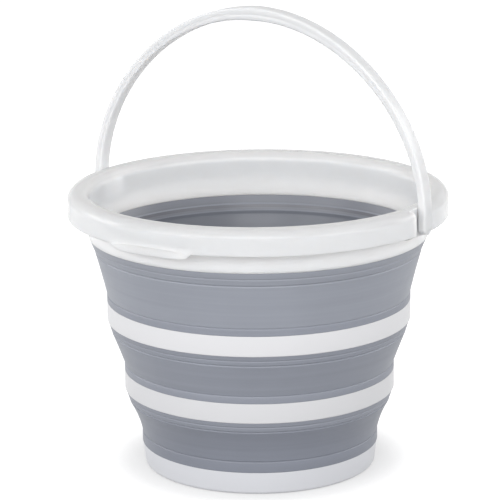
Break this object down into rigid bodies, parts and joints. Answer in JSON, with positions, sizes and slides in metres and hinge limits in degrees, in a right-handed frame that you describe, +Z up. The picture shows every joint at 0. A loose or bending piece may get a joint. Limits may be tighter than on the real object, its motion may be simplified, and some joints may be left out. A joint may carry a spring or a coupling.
{
  "type": "collapsible bucket",
  "caption": "Round collapsible camp bucket: rigid white rings on soft grey folding walls, open, with a finger lip under its rolled rim and its bail handle raised.",
  "frame": {"origin": "on the bucket's axis, in the plane of the foot ring's underside", "axes": "+Z up along the bucket's axis; X along the handle's pivot axis; the finger lip faces -Y"},
  "size_m": [0.322, 0.321, 0.392],
  "materials": {
    "white_plastic": "satin gloss, moulded",
    "grey_rubber": "matte, moulded"
  },
  "bodies": {
    "base": {"base_pan": "white_plastic", "base_sleeve": "grey_rubber", "lower_fold": "grey_rubber"},
    "lower_stage": {"lower_ring": "white_plastic", "lower_sleeve": "grey_rubber", "middle_fold": "grey_rubber"},
    "upper_stage": {"upper_ring": "white_plastic", "upper_sleeve": "grey_rubber", "upper_fold": "grey_rubber"},
    "rim_stage": {"rim": "white_plastic", "rim_flange": "white_plastic", "rim_sleeve": "grey_rubber"},
    "bail": {"handle": "white_plastic"}
  },
  "joints": [
    {"name": "lower_collapse", "type": "slide", "parent": "base", "child": "lower_stage", "axis": [0, 0, -1], "range_m": [0, 0.056], "deforming": ["lower_fold"]},
    {"name": "middle_collapse", "type": "slide", "parent": "lower_stage", "child": "upper_stage", "axis": [0, 0, -1], "range_m": [0, 0.054], "deforming": ["middle_fold"]},
    {"name": "upper_collapse", "type": "slide", "parent": "upper_stage", "child": "rim_stage", "axis": [0, 0, -1], "range_m": [0, 0.071], "deforming": ["upper_fold"]},
    {"name": "handle_swing", "type": "hinge", "parent": "rim_stage", "child": "bail", "pos_m": [0, 0, 0.223], "axis": [1, 0, 0], "range_deg": [0, 28]}
  ]
}
